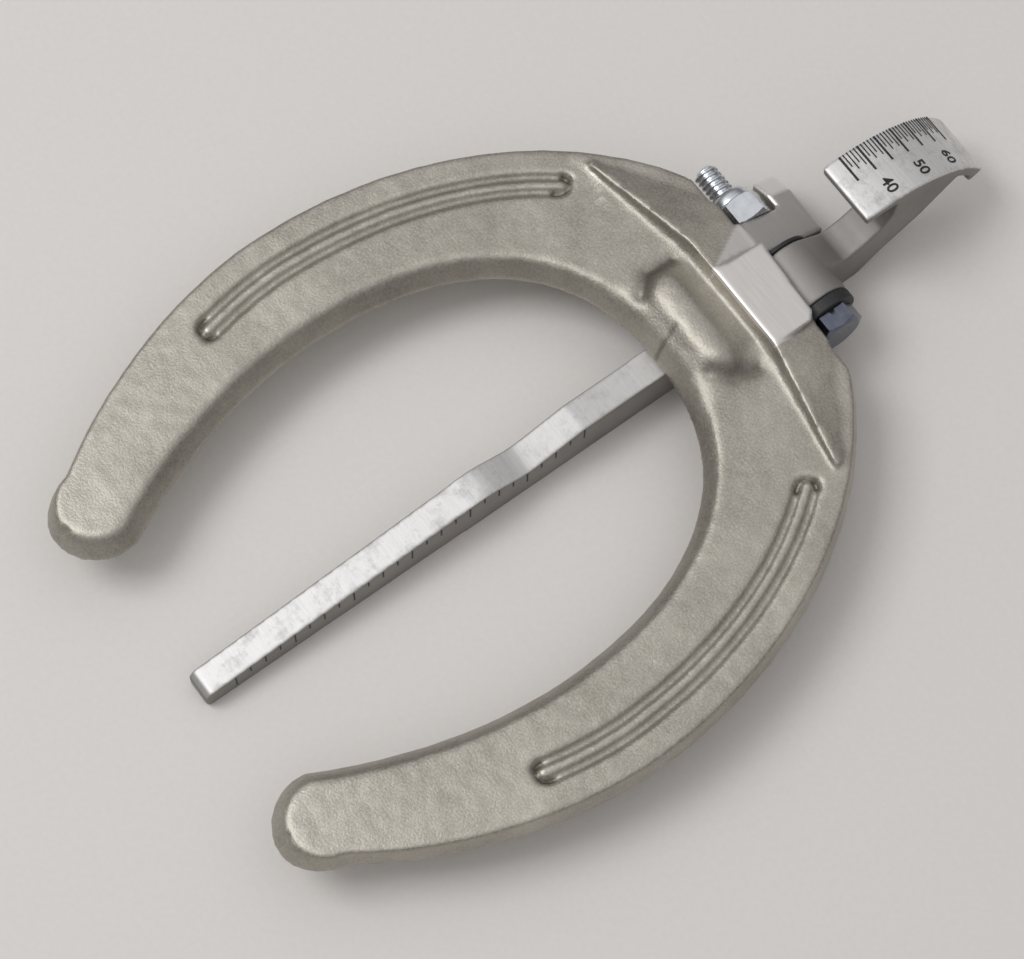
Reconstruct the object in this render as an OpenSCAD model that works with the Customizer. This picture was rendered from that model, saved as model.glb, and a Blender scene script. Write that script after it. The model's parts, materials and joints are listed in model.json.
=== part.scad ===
// Hoof gauge: a shoe-shaped sole plate with an arm hinged at its toe.
// The arm carries a graduated bar at one end and an angle scale at the other.
// It is drawn with the sole face at height zero, and set down at the end so that the
// origin lies under its middle, where the arm's underside rests. X runs along the hinge
// bolt from nut to head, Y from heel to toe, and Z out of the plate's top.

/* [Plate] */
// Thickness of the branches
plate_t = 5.2; // [4:0.1:8]
// Half width across the outer edge
outer_a = 60.1; // [58:0.1:64]
// Where the outer edge is widest
outer_y = -61; // [-64:0.5:-58]
// Reach of the outer edge towards the toe
outer_toe = 77.5; // [76:0.5:80]
// Reach of the outer edge towards the heels
outer_heel = 79.5; // [76:0.5:84]
// Half width across the inner edge
inner_a = 41.6; // [38:0.1:43]
// Where the inner edge is widest
inner_y = -65; // [-67:0.5:-63]
// Reach of the inner edge towards the toe
inner_toe = 52.5; // [50:0.5:54]
// Reach of the inner edge towards the heels
inner_heel = 71.5; // [68:0.5:75]
// Sweep of each branch past its widest point
heel_angle = 43.5; // [40:0.5:47]
// Slope of the inner wall and the heel ends, as a run at the sole
inner_run = 3; // [1:0.1:4]
// Slope of the outer wall, as a run at the sole
outer_run = 1.1; // [0.4:0.1:2]

/* [Groove and rib] */
// Width of the groove
groove_w = 5.5; // [4.6:0.1:6.5]
// Depth of the groove
groove_d = 0.9; // [0.4:0.1:1.6]
// Land between the groove and the outer edge
groove_land = 4.8; // [4:0.1:6]
// Width of the rib along the groove
rib_w = 2.1; // [1.4:0.1:2.6]
// Where the groove ends towards the toe
groove_toe_angle = 50.5; // [44:0.5:52]
// Where the groove ends towards the heel
groove_heel_angle = -16; // [-24:0.5:-8]

/* [Toe block] */
// Left side of the milled pad, from the centre line
block_left = 5.4; // [4.6:0.1:8]
// Right side of the milled pad, from the centre line
block_right = 12.4; // [12.2:0.1:14]
// Height of the milled pad over the sole face
block_z = 8; // [7.4:0.1:9]
// How far the pad's face stands over the ridge behind it
skim = 0.1; // [0.05:0.05:0.6]
// Where the ridge behind the pad lies along the plate
ridge_y = 1.6; // [0.5:0.1:3]
// How far the pad's lip stops short of the hinge axis
lip_back = 2.8; // [2:0.1:4]
// How much further back the lip lies at its right end
lip_skew = 1; // [0:0.1:1.5]
// Cut across the lip's right corner
lip_corner = 1.3; // [0.5:0.1:2.5]
// Where the ridge starts to fall to each side
ramp_start_x = 12.2; // [10:0.1:14]
// Where the two ramps end, across the plate
ramp_end_x = 36.5; // [35:0.1:38]
// Where the two ramps end, along the plate
ramp_end_y = -3.3; // [-4:0.1:-2]
// Height of the ridge at the ramps' ends
ramp_end_z = 6.3; // [5.6:0.1:7]
// Length of the rounded pad across the toe
pad_l = 25; // [22:0.5:28]
// Radius of the rounded pad
pad_r = 4; // [3.5:0.1:4.4]
// Middle of the pad along the plate
pad_y = -7.4; // [-9:0.1:-6]
// Height of the pad over the plate
pad_rise = 3; // [2:0.1:3.4]

/* [Hinge] */
// Hinge axis ahead of the origin, in the plane of the sole face
pivot_y = 15; // [14:0.1:17]
// Radius of the arm's hub
hub_r = 6.35; // [6:0.05:6.6]
// Right end of the hub
hub_right = 9.6; // [9:0.1:10]
// Gap between pieces that turn past each other
run_gap = 0.35; // [0.3:0.05:0.5]
// Radial clearance of the bolt in its bores
bolt_gap = 0.06; // [0.03:0.01:0.09]
// Thickness of the washer between the lug and the hub
hub_washer_t = 0.8; // [0.5:0.1:1.2]
// Thickness of the washer under the bolt head
head_washer_t = 2.3; // [1.5:0.1:3]
// Gap between the arm and each washer
side_gap = 0.1; // [0.05:0.01:0.3]
// Radius of the two washers
washer_r = 6.3; // [5.6:0.05:6.35]

/* [Lug] */
// Left end of the lug's wing
lug_left = 17.9; // [16:0.1:20]
// Where the nut bears on the lug
nut_seat = 10.8; // [9:0.1:12]
// Reach of the lug ahead of the hinge axis
lug_reach = 11.5; // [10:0.1:13]
// Height of the sloped face above the hinge axis
lug_over = 4.1; // [3.9:0.1:5.2]
// Fall of the sloped face for each unit towards the toe
lug_fall = 0.5; // [0.4:0.01:0.55]
// Depth of the lug under the hinge axis
lug_under = 6.2; // [5.6:0.1:6.6]
// Gap between the nut's corners and the wing
nut_gap = 0.7; // [0.4:0.05:1]
// Width of the wing's bevelled end
wing_bevel_w = 4.4; // [2:0.1:6]
// Fall of the wing's bevelled end
wing_bevel_d = 2; // [0.5:0.1:2.5]
// Bevel along the lug's lower edge
lug_bevel = 1; // [0.4:0.1:2]

/* [Arm bar] */
// Half width of the bar from the toe to its crest
bar_half = 3.1; // [2.6:0.05:3.4]
// Half width of the bar at its free end
bar_end_half = 2.85; // [2.2:0.05:3.1]
// Gap between the bar and the sole face
bar_drop = 0.35; // [0.3:0.05:0.6]
// Depth of the bar's underside below the sole face
bar_bottom = 11.4; // [10:0.1:13]
// Where the bar's top dips
dip_y = -45.5; // [-47:0.5:-42]
// How far the dip lies below the sole face
dip_drop = 3.2; // [2:0.1:4]
// Where the bar's crest lies
crest_y = -55; // [-58:0.2:-52]
// How far the crest lies below the sole face
crest_drop = 0.9; // [0.4:0.1:2]
// Length of the rounded crest
crest_l = 3; // [1:0.1:5]
// Where the bar ends
bar_end_y = -116; // [-118:0.5:-100]
// How far the top of the free end lies below the sole face
end_drop = 6.4; // [5:0.1:7.5]
// Radius of the free end's corners
end_round = 1.2; // [0.6:0.1:2]

/* [Arm stem and scale] */
// Left side of the stem
stem_left = 2.3; // [2:0.05:2.3]
// Right side of the stem
stem_right = 4.8; // [4:0.1:5.4]
// Height of the stem's top above the hinge axis
stem_top = 0.7; // [0:0.1:1.5]
// Radius of the scale's curved face
rim_r = 30.6; // [29:0.1:33]
// Middle of the scale's curve ahead of the hinge axis
rim_ahead = 16.5; // [15:0.1:18]
// Middle of the scale's curve below the hinge axis
rim_below = 16.4; // [15:0.1:18]
// Thickness of the scale
rim_t = 2.6; // [2:0.1:3.2]
// Width of the scale
rim_w = 12.9; // [11:0.1:14]
// Start of the scale, as an angle round its curve
rim_start = 97; // [94:0.5:100]
// End of the scale, as an angle round its curve
rim_end = 30; // [26:0.5:34]
// Length of the thicker lip at the scale's end
rim_lip_l = 1.6; // [0.8:0.1:3]
// How much thicker the lip is
rim_lip_t = 0.9; // [0.4:0.1:1.5]
// Height of the curved sweep under the scale's start
web_rise = 6.2; // [4:0.1:7]
// Depth of the web's free edge below the scale's far part
web_drop = 3.8; // [2:0.1:6]

/* [Bolt and nut] */
// Diameter of the bolt
bolt_d = 4.83; // [4:0.01:5]
// Length of the bolt under its head
bolt_l = 37; // [34:0.5:40]
// Width across the flats of the head and nut
flats = 9.5; // [8:0.05:10]
// Height of the bolt head
head_h = 3.9; // [3:0.1:4.5]
// Height of the nut's hexagon
nut_h = 5; // [3.5:0.1:5.6]
// Height of the nut's collar over the insert
collar_h = 2.2; // [1:0.1:2.6]
// Turn of the nut about the bolt
nut_turn = 30; // [0:1:59]

/* [Hidden] */
$fn = 64;
tiny = 0.01;
bolt_r = bolt_d / 2;
bore_r = bolt_r + bolt_gap;
corner_r = flats / 2 / cos(30);
cut_r = hub_r + run_gap;
toe_y = pivot_y - cut_r;
lip_y = pivot_y - lip_back;
bar_root = toe_y - run_gap;
bar_face_y = crest_y - crest_l;
face_drop = crest_drop + 0.1;
lug_right = stem_left + side_gap + hub_washer_t;
lug_y = pivot_y + lug_reach;
wing_y = pivot_y + corner_r + nut_gap;
root = 0.6;
head_x = hub_right + side_gap + head_washer_t;
thread_x = head_x - bolt_l;
nut_x = -nut_seat;
rim_y = pivot_y + rim_ahead;
rim_x = stem_right - rim_w;
rim_in = rim_r - rim_t;
stem_root = toe_y - 10;
stem_foot = rim_y - 2;
web_end = rim_end + 18;
front_y = rim_y + rim_r * cos(rim_end);
groove_half = groove_w / 2;
groove_mid = groove_land + groove_half;
rib_half = rib_w / 2;
groove_slope = 0.5;
rib_slope = 0.4;
rib_low = 0.1;
sink = 0.1;
ridge_flat = 0.4;
lip_lean = 0.4;
insert_r = bolt_r + 0.9;
insert_gap = 0.2;
chamfer = 0.5;
pad_x = pad_l / 2 - pad_r;
wide_x = outer_a + outer_run;

// Points of the branch: a superellipse quarter, with its own reach and fullness each way
function bow(a, y0, toe, heel, full_toe, full_heel, q) =
    q >= 0
    ? [a * pow(cos(q), 2 / full_toe), y0 + toe * pow(sin(q), 2 / full_toe)]
    : [a * pow(cos(q), 2 / full_heel), y0 - heel * pow(-sin(q), 2 / full_heel)];
function outer_at(q) =
    let (p = bow(outer_a, outer_y, outer_toe, outer_heel, 2, 1.8, q)) [p.x, min(p.y, lip_y)];
function inner_at(q) = bow(inner_a, inner_y, inner_toe, inner_heel, 2.3, 1.7, q);

// Stations down the right branch: [angle, turn round the heel end, share of the groove]
groove_steps = [0, 0.35, 0.8, 1.4, 2.3];
function groove_share(d) = d <= 0 ? 0 : d >= 2.3 ? 1 : sqrt(1 - pow(1 - d / 2.3, 2));
function share_at(q) = groove_share(min(groove_toe_angle - q, q - groove_heel_angle));
mid_from = groove_toe_angle - 2.3;
mid_to = groove_heel_angle + 2.3;
angles = concat(
    [for (q = [89:-5.5:groove_toe_angle + 1]) q],
    [for (d = groove_steps) groove_toe_angle - d],
    [for (i = [1:12]) mid_from + (mid_to - mid_from) * i / 13],
    [for (i = [4:-1:0]) groove_heel_angle + groove_steps[i]],
    [for (i = [1:7]) groove_heel_angle - (heel_angle + groove_heel_angle) * i / 7]);
right_stations = concat([for (q = angles) [q, 0]], [for (f = [15:15:75]) [-heel_angle, f], [-heel_angle, 84]]);
last = len(right_stations) - 1;

// Rounded wall of the branch, from its foot up: [share of the wall's run, share of the height]
wall = [[1, 0], [0.92, 0.25], [0.5, 0.68], [0.14, 0.93], [-0.2, 1]];

// One section of the branch, from the foot of the inner wall to the foot of the outer wall.
// Each entry is [place across, share of the wall's run, height].
function section(h, share) =
    let (gh = groove_half * share, rh = (rib_half - rib_slope) * share, d = groove_d * share, g = h - groove_mid,
         floor_z = plate_t - d, rib_z = plate_t - rib_low * d, slope = groove_slope * share)
    concat(
        [for (w = wall) [-h, w[0], plate_t * w[1]]],
        [[g - gh, 0, plate_t], [g - gh + slope, 0, floor_z], [g - rh - rib_slope * share, 0, floor_z]],
        [[g - rh, 0, rib_z], [g + rh, 0, rib_z]],
        [[g + rh + rib_slope * share, 0, floor_z], [g + gh - slope, 0, floor_z], [g + gh, 0, plate_t]],
        [for (i = [len(wall) - 1:-1:0]) [h, wall[i][0], plate_t * wall[i][1]]]);
function station_points(s) =
    let (q = s[0], f = s[1], o = outer_at(q), i = inner_at(q), across = (o - i) / norm(o - i),
         along = [across.y, -across.x], h = norm(o - i) / 2, mid = (o + i) / 2)
    [for (p = section(h, f > 0 ? 0 : share_at(q)))
        let (run = p[0] < 0 ? -inner_run : outer_run,
             xy = mid + across * (p[0] + run * p[1]) * cos(f) + along * (h + inner_run * p[1]) * sin(f))
        [xy.x, xy.y, p[2]]];

back_y = min([for (s = right_stations) for (p = station_points(s)) p.y]);

module branches() {
    right = [for (s = right_stations) station_points(s)];
    loft(concat([for (i = [last:-1:0]) [for (p = right[i]) [-p.x, p.y, p.z]]], right));
}

// A flat shape in the Y-Z plane, drawn out along X from x0 to x1
module along_x(x0, x1) {
    translate([x0, 0, 0]) rotate([90, 0, 90]) linear_extrude(x1 - x0) children();
}

// The ridge across the toe and the two ramps are one loft, with a section at each x
function mix(a, b, t) = a + (b - a) * t;
function fall_at(x) = max(0, (abs(x) - ramp_start_x) / (ramp_end_x - ramp_start_x));
function edge_at(x) = min(lip_y, outer_y + outer_toe * sqrt(1 - pow(x / outer_a, 2)) - outer_run);
function slope_z(y) = lug_over - lug_fall * (y - pivot_y);
function ramp_section(x) =
    let (t = fall_at(x), y = mix(ridge_y, ramp_end_y, t), z = mix(block_z - skim, ramp_end_z, t), r = z - plate_t + sink,
         low = mix(slope_z(lip_y), plate_t - root, min(1, 2 * t)))
    concat([[x, y - r, plate_t / 2]],
        [for (a = [90:-18:0]) [x, y - r + r * cos(a), z - r * sin(a)]],
        [[x, y + ridge_flat, z], [x, edge_at(x), low], [x, edge_at(x), plate_t / 2]]);
ramp_steps = concat([0.5], [for (i = [0:6]) mix(ramp_start_x, ramp_end_x, i / 6)]);
ramp_stations = concat([for (i = [len(ramp_steps) - 1:-1:0]) -ramp_steps[i]], ramp_steps);

// Skin over a row of rings, with a flat cap at each end. Each cap starts at its ring's last
// point, which sees the whole cap.
module loft(rings) {
    n = len(rings[0]);
    m = len(rings);
    skin = [for (j = [0:m - 2]) for (i = [0:n - 1])
        let (a = j * n + i, b = j * n + (i + 1) % n, c = a + n, d = b + n)
        each [[a, b, c], [b, d, c]]];
    polyhedron([for (r = rings) for (p = r) p],
        concat(skin, [[for (i = [n - 1:-1:0]) i], [for (i = [-1:n - 2]) (m - 1) * n + (i + n) % n]]));
}

module ramps() {
    loft([for (x = ramp_stations) ramp_section(x)]);
}

module milled_pad() {
    linear_extrude(block_z)
        polygon([[-block_left, ridge_y + skim], [-block_left + lip_lean, lip_y],
            [block_right - lip_corner, lip_y - lip_skew], [block_right, lip_y - lip_skew - lip_corner],
            [block_right, ridge_y + skim]]);
}

module round_cut() {
    translate([-wide_x, pivot_y, 0]) rotate([0, 90, 0]) cylinder(r = cut_r, h = 2 * wide_x);
}

module pad() {
    hull() for (s = [-1, 1]) translate([s * pad_x, pad_y, plate_t + pad_rise - pad_r]) sphere(pad_r, $fn = 32);
}

// The lug's outline, from inside the toe to its free edge, and round under the hinge axis
module lug_side() {
    polygon([[toe_y - root, 0], [toe_y - root, plate_t - root], [lip_y - 0.5, slope_z(lip_y - 0.5)],
        [lug_y, slope_z(lug_y)], [lug_y, -lug_under + lug_bevel], [lug_y - lug_bevel, -lug_under],
        [pivot_y, -lug_under]]);
    translate([pivot_y, 0]) intersection() {
        circle(lug_under);
        translate([-lug_under, -lug_under]) square([2 * lug_under, lug_under + root]);
    }
}

module lug() {
    reach = lug_left + lug_reach;
    difference() {
        along_x(-lug_left, -lug_right) lug_side();
        translate([-lug_left - 1, wing_y - reach, -reach]) cube([lug_left - nut_seat + 1, reach, 2 * reach]);
        translate([wing_bevel_w - lug_left, lug_y, slope_z(lug_y)]) rotate([-atan(lug_fall), 0, 0])
            rotate([0, -atan(wing_bevel_d / wing_bevel_w), 0]) translate([-reach, -reach, 0])
                cube([reach + 1, 2 * reach, reach]);
    }
}

module bolt_bore(x0, x1) {
    translate([x0, pivot_y, 0]) rotate([0, 90, 0]) cylinder(r = bore_r, h = x1 - x0);
}

module base_casting() {
    color([0.62, 0.6, 0.53]) difference() {
        union() {
            difference() {
                union() {
                    branches();
                    ramps();
                    milled_pad();
                }
                round_cut();
            }
            pad();
            lug();
        }
        bolt_bore(-lug_left - 1, -lug_right + 1);
    }
}

// The bar's side outline, in the Y-Z plane, from the hub to the free end and back below
module bar_side() {
    sweep = crest_y + 1.8;
    polygon([[bar_root, -bar_drop], [dip_y + 12, -bar_drop - 0.2],
        [dip_y + 2, mix(-dip_drop, -bar_drop, 0.1)], [dip_y, -dip_drop],
        [dip_y - 2, mix(-dip_drop, -crest_drop, 0.12)],
        [sweep, mix(-dip_drop, -crest_drop, 0.88)], [crest_y, -crest_drop], [bar_face_y, -face_drop],
        [bar_end_y + end_round, -end_drop], [bar_end_y, -end_drop - end_round],
        [bar_end_y, -bar_bottom + end_round / 2], [bar_end_y + end_round / 2, -bar_bottom],
        [bar_root, -bar_bottom]]);
}

module arm_bar() {
    intersection() {
        along_x(-bar_half, bar_half) bar_side();
        translate([0, 0, -bar_bottom - 1]) linear_extrude(bar_bottom + 2)
            polygon([[-bar_half, pivot_y + 1], [-bar_half, crest_y], [-bar_end_half, bar_end_y],
                [bar_end_half, bar_end_y], [bar_half, crest_y], [bar_half, pivot_y + 1]]);
    }
}

function on_rim(r, q) = [rim_y + r * cos(q), -rim_below + r * sin(q)];

// Hub, stem and web, in the Y-Z plane. The web sweeps up under the scale and runs out
// along it, and its free edge comes back down to the stem's foot.
module stem_side() {
    start = on_rim(rim_in, rim_start - 15);
    finish = on_rim(rim_in, web_end);
    polygon(concat(
        [[stem_root, -bar_bottom], [stem_root, -bar_drop], [bar_root, -bar_drop], [pivot_y, stem_top],
         [start.x - 1.5 * web_rise, stem_top],
         [start.x - 0.95 * web_rise, stem_top + 0.16 * web_rise],
         [start.x - 0.4 * web_rise, stem_top + 0.5 * web_rise],
         [start.x - 0.08 * web_rise, stem_top + web_rise]],
        [for (q = [rim_start - 15:-4:web_end]) on_rim(rim_in + rim_t / 6, q)],
        [[finish.x + 0.5, finish.y - 0.4], [finish.x - 7, finish.y - 1.8 * web_drop],
         [mix(finish.x, stem_foot, 0.78), finish.y - 3.2 * web_drop], [stem_foot, -bar_bottom]]));
    translate([pivot_y, 0]) circle(hub_r);
    polygon([[pivot_y + hub_r * sin(28), hub_r * cos(28)], [pivot_y + 1.5 * hub_r, stem_top],
        [pivot_y, stem_top]]);
}

module stem() {
    along_x(-stem_left, stem_right) stem_side();
}

// A length of the scale between two angles, with its inner face moved in by the given step
module rim_part(from, to, inward) {
    translate([rim_x, rim_y, -rim_below]) rotate([from, 0, 0]) rotate([90, 0, 90])
        rotate_extrude(angle = to - from, $fn = 160)
            translate([rim_in - inward, 0]) square([rim_t + inward, rim_w]);
}

module scale_rim() {
    rim_part(rim_end, rim_start, 0);
    rim_part(rim_end, rim_end + rim_lip_l / rim_r * 180 / PI, rim_lip_t);
}

module hub_boss() {
    translate([-stem_left, pivot_y, 0]) rotate([0, 90, 0]) cylinder(r = hub_r, h = hub_right + stem_left);
}

module gauge_arm() {
    color([0.78, 0.78, 0.78]) difference() {
        union() {
            arm_bar();
            stem();
            hub_boss();
            scale_rim();
        }
        bolt_bore(-stem_left - 1, hub_right + 1);
    }
}

module hexagon(h, turn) {
    intersection() {
        rotate([0, 0, turn]) cylinder(r = corner_r, h = h, $fn = 6);
        cylinder(r1 = corner_r + h - chamfer, r2 = corner_r - chamfer, h = h);
    }
}

module pivot_bolt() {
    color([0.7, 0.73, 0.78]) {
        translate([thread_x, pivot_y, 0]) rotate([0, 90, 0]) {
            cylinder(r1 = bolt_r - chamfer, r2 = bolt_r, h = chamfer);
            translate([0, 0, chamfer]) cylinder(r = bolt_r, h = bolt_l - chamfer + tiny);
            translate([0, 0, bolt_l]) hexagon(head_h, 30);
        }
    }
}

module washer(x0, t) {
    translate([x0, pivot_y, 0]) rotate([0, 90, 0]) difference() {
        cylinder(r = washer_r, h = t);
        translate([0, 0, -1]) cylinder(r = bore_r, h = t + 2);
    }
}

module head_washer() {
    color([0.09, 0.09, 0.1]) washer(hub_right + side_gap, head_washer_t);
}

module hub_washer() {
    color([0.12, 0.12, 0.13]) washer(-lug_right, hub_washer_t);
}

module lock_nut() {
    color([0.74, 0.77, 0.82]) translate([nut_x, pivot_y, 0]) rotate([0, -90, 0]) difference() {
        union() {
            rotate([0, 0, nut_turn]) cylinder(r = corner_r, h = nut_h, $fn = 6);
            translate([0, 0, nut_h - tiny]) cylinder(r1 = flats / 2 - 0.2, r2 = flats / 2 - 1, h = collar_h);
        }
        translate([0, 0, -1]) cylinder(r = bore_r, h = nut_h + collar_h + 2);
        translate([0, 0, nut_h]) cylinder(r = insert_r, h = collar_h + 1);
    }
}

module nylon_insert() {
    color([0.92, 0.92, 0.9]) translate([nut_x - nut_h, pivot_y, 0]) rotate([0, -90, 0]) difference() {
        cylinder(r = insert_r, h = collar_h - insert_gap);
        translate([0, 0, -1]) cylinder(r = bore_r, h = collar_h + 2);
    }
}

// Moves a piece from where it is drawn to where the part stands
module stand() {
    translate([0, -(front_y + back_y) / 2, bar_bottom]) children();
}

stand() base_casting();
stand() gauge_arm();
stand() pivot_bolt();
stand() head_washer();
stand() hub_washer();
stand() lock_nut();
stand() nylon_insert();
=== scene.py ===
import json
import math

import bmesh
import bpy
import numpy as np
from mathutils import Matrix, Vector, noise
from mathutils.bvhtree import BVHTree


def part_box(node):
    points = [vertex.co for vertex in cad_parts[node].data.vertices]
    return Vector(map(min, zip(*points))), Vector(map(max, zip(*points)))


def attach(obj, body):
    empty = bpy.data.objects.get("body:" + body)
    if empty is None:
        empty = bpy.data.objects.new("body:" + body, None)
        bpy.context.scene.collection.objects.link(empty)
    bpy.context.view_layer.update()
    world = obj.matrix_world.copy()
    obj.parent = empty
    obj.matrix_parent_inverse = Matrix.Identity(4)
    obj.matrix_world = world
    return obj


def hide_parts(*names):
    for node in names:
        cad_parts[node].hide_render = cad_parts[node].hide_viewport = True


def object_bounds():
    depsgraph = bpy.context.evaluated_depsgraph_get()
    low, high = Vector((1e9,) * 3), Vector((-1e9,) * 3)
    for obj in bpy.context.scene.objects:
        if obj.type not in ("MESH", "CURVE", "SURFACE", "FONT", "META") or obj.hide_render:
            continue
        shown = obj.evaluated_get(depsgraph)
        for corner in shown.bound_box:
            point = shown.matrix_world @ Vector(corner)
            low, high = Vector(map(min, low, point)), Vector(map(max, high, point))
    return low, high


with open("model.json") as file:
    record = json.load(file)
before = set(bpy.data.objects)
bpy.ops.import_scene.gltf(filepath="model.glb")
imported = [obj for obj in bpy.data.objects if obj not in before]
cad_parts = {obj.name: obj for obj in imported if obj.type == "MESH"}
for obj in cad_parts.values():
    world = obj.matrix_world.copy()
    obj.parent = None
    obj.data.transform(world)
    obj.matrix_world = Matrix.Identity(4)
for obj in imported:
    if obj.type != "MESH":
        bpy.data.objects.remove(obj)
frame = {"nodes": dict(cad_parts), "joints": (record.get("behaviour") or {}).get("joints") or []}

cadLow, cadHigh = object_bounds()
mm = 0.001
weldGap = 1e-6  # metres
# Every place below is measured from the hinge axis, in millimetres
hinge = Vector(frame["joints"][0]["pos_m"])
print("frame loaded, hinge at", [round(c / mm, 2) for c in hinge])


def place(x, y, z):
    return hinge + Vector((x, y, z)) * mm


# Shader maths: a wire is a number on a socket, so that sums on it read as sums

class Wire:
    def __init__(self, paint, socket):
        self.paint = paint
        self.socket = socket

    def maths(self, operation, *values):
        return self.paint.node("ShaderNodeMath", {"operation": operation}, dict(enumerate(values)))

    def __add__(self, other):
        return self.maths("ADD", self, other)

    def __sub__(self, other):
        return self.maths("SUBTRACT", self, other)

    def __rsub__(self, other):
        return self.maths("SUBTRACT", other, self)

    def __mul__(self, other):
        return self.maths("MULTIPLY", self, other)

    __radd__ = __add__
    __rmul__ = __mul__

    def held(self):
        return self.paint.node("ShaderNodeClamp", {}, {0: self})

    def contrast(self, gain, shift):
        return (self * gain + shift).held()


# One material, its Principled shader and what feeds it

class Paint:
    def __init__(self, name, **fixed):
        self.material = bpy.data.materials.new(name)
        self.material.use_nodes = True
        self.tree = self.material.node_tree
        self.shader = self.tree.nodes["Principled BSDF"]
        for socket, value in fixed.items():
            self.shader.inputs[socket].default_value = value
        self.spot = self.node("ShaderNodeTexCoord", {}, {}, "Object")

    def node(self, kind, settings, inputs, out=0):
        made = self.tree.nodes.new(kind)
        for key, value in settings.items():
            setattr(made, key, value)
        for key, value in inputs.items():
            if isinstance(value, Wire):
                self.tree.links.new(value.socket, made.inputs[key])
            else:
                made.inputs[key].default_value = value
        return Wire(self, made.outputs[out])

    def feed(self, socket, wire):
        self.tree.links.new(wire.socket, self.shader.inputs[socket])

    def stretched(self, x, y, z):
        return self.node("ShaderNodeVectorMath", {"operation": "MULTIPLY"}, {0: self.spot, 1: (x, y, z)})

    # Noise whose lumps are about size millimetres across
    def cloud(self, size, detail, rough, at=None):
        inputs = {"Vector": at or self.spot, "Scale": 1 / (size * mm), "Detail": detail, "Roughness": rough}
        return self.node("ShaderNodeTexNoise", {}, inputs)

    def mask(self, name):
        return self.node("ShaderNodeAttribute", {"attribute_name": name}, {}, "Fac")

    def blend(self, share, first, second):
        shades = {}
        for key, shade in ((6, first), (7, second)):  # the Mix node's two colour sockets
            shades[key] = shade if isinstance(shade, Wire) else (*shade, 1)
        return self.node("ShaderNodeMix", {"data_type": "RGBA"}, {0: share, **shades}, 2)

    def relief(self, height, depth, strength=1.0):
        inputs = {"Height": height, "Distance": depth * mm, "Strength": strength}
        self.feed("Normal", self.node("ShaderNodeBump", {}, inputs, "Normal"))


# Colours are linear. A noise is its size in millimetres, detail and roughness, and a contrast is a gain
# and a shift. Cast skin, worn skin and machined faces share the casting's material.
castTone = {
    "metallic": 0.85,
    # The darkest colour darkens pores and paints shade into corners, hollows and creases
    "dark": (0.28, 0.258, 0.22), "light": (0.49, 0.46, 0.405), "dirtAndShade": (0.085, 0.076, 0.06),
    "worn": (0.8, 0.77, 0.7), "milled": (0.61, 0.58, 0.56), "milledLight": (0.72, 0.69, 0.67),
    # The brightest colour is a painted highlight on milled edges and a painted reflection on the lug's left
    # wing
    "milledHighlight": (1.0, 0.98, 0.96),
    "grain": (0.45, 4, 0.65), "pits": (1.9, 2, 0.5), "blotch": (11, 4, 0.6),
    "strokes": (0.5, 2, 0.5), "strokeRun": (0.08, 1, 1),
    "blotchContrast": (1.5, -0.25), "peaks": (3.2, -1.3), "pores": (-3.2, 1.2), "rubbedAndLit": (2.6, -0.6),
    "peakShare": 0.3, "poreShare": 0.4, "wornShare": 0.65, "dirtAndShadeShare": 0.8, "milledHighlightShare": 0.9,
    "rough": 0.34, "grainRough": 0.2, "wearSmooth": 0.06, "milledRough": 0.36, "strokeRough": 0.12,
    "grainRelief": 0.7, "pitRelief": 0.5, "strokeRelief": 0.1, "depth": 0.14, "strength": 0.8,
}


def castingPaint():
    t = castTone
    p = Paint("sandCastAlloy", Metallic=t["metallic"])
    wearAndHighlight, dirtAndShade, milled = p.mask("wearAndHighlight"), p.mask("dirtAndShade"), p.mask("milled")
    grain = p.cloud(*t["grain"])
    pits = p.cloud(*t["pits"])
    blotch = p.cloud(*t["blotch"])
    strokes = p.cloud(*t["strokes"], p.stretched(*t["strokeRun"]))
    tone = p.blend(blotch.contrast(*t["blotchContrast"]), t["dark"], t["light"])
    tone = p.blend(grain.contrast(*t["peaks"]) * t["peakShare"], tone, t["worn"])
    tone = p.blend(grain.contrast(*t["pores"]) * t["poreShare"], tone, t["dirtAndShade"])
    # Bright edges: partly rubbed wear, partly a painted highlight on ridges and ribs
    tone = p.blend(wearAndHighlight * grain.contrast(*t["rubbedAndLit"]) * t["wornShare"], tone, t["worn"])
    # Painted shade in corners, fillets, hollows, creases and grooves
    tone = p.blend(dirtAndShade * t["dirtAndShadeShare"], tone, t["dirtAndShade"])
    face = p.blend(strokes, t["milled"], t["milledLight"])
    # Painted highlight on milled edges, painted reflection on the lug's left wing
    face = p.blend(wearAndHighlight * t["milledHighlightShare"], face, t["milledHighlight"])
    p.feed("Base Color", p.blend(milled, tone, face))
    castRough = t["rough"] + grain * t["grainRough"] - wearAndHighlight * t["wearSmooth"]
    milledRough = t["milledRough"] + strokes * t["strokeRough"]
    p.feed("Roughness", castRough * (1 - milled) + milled * milledRough)
    castRelief = grain * t["grainRelief"] + pits * t["pitRelief"]
    p.relief(castRelief * (1 - milled) + strokes * milled * t["strokeRelief"], t["depth"], t["strength"])
    return p.material


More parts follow.
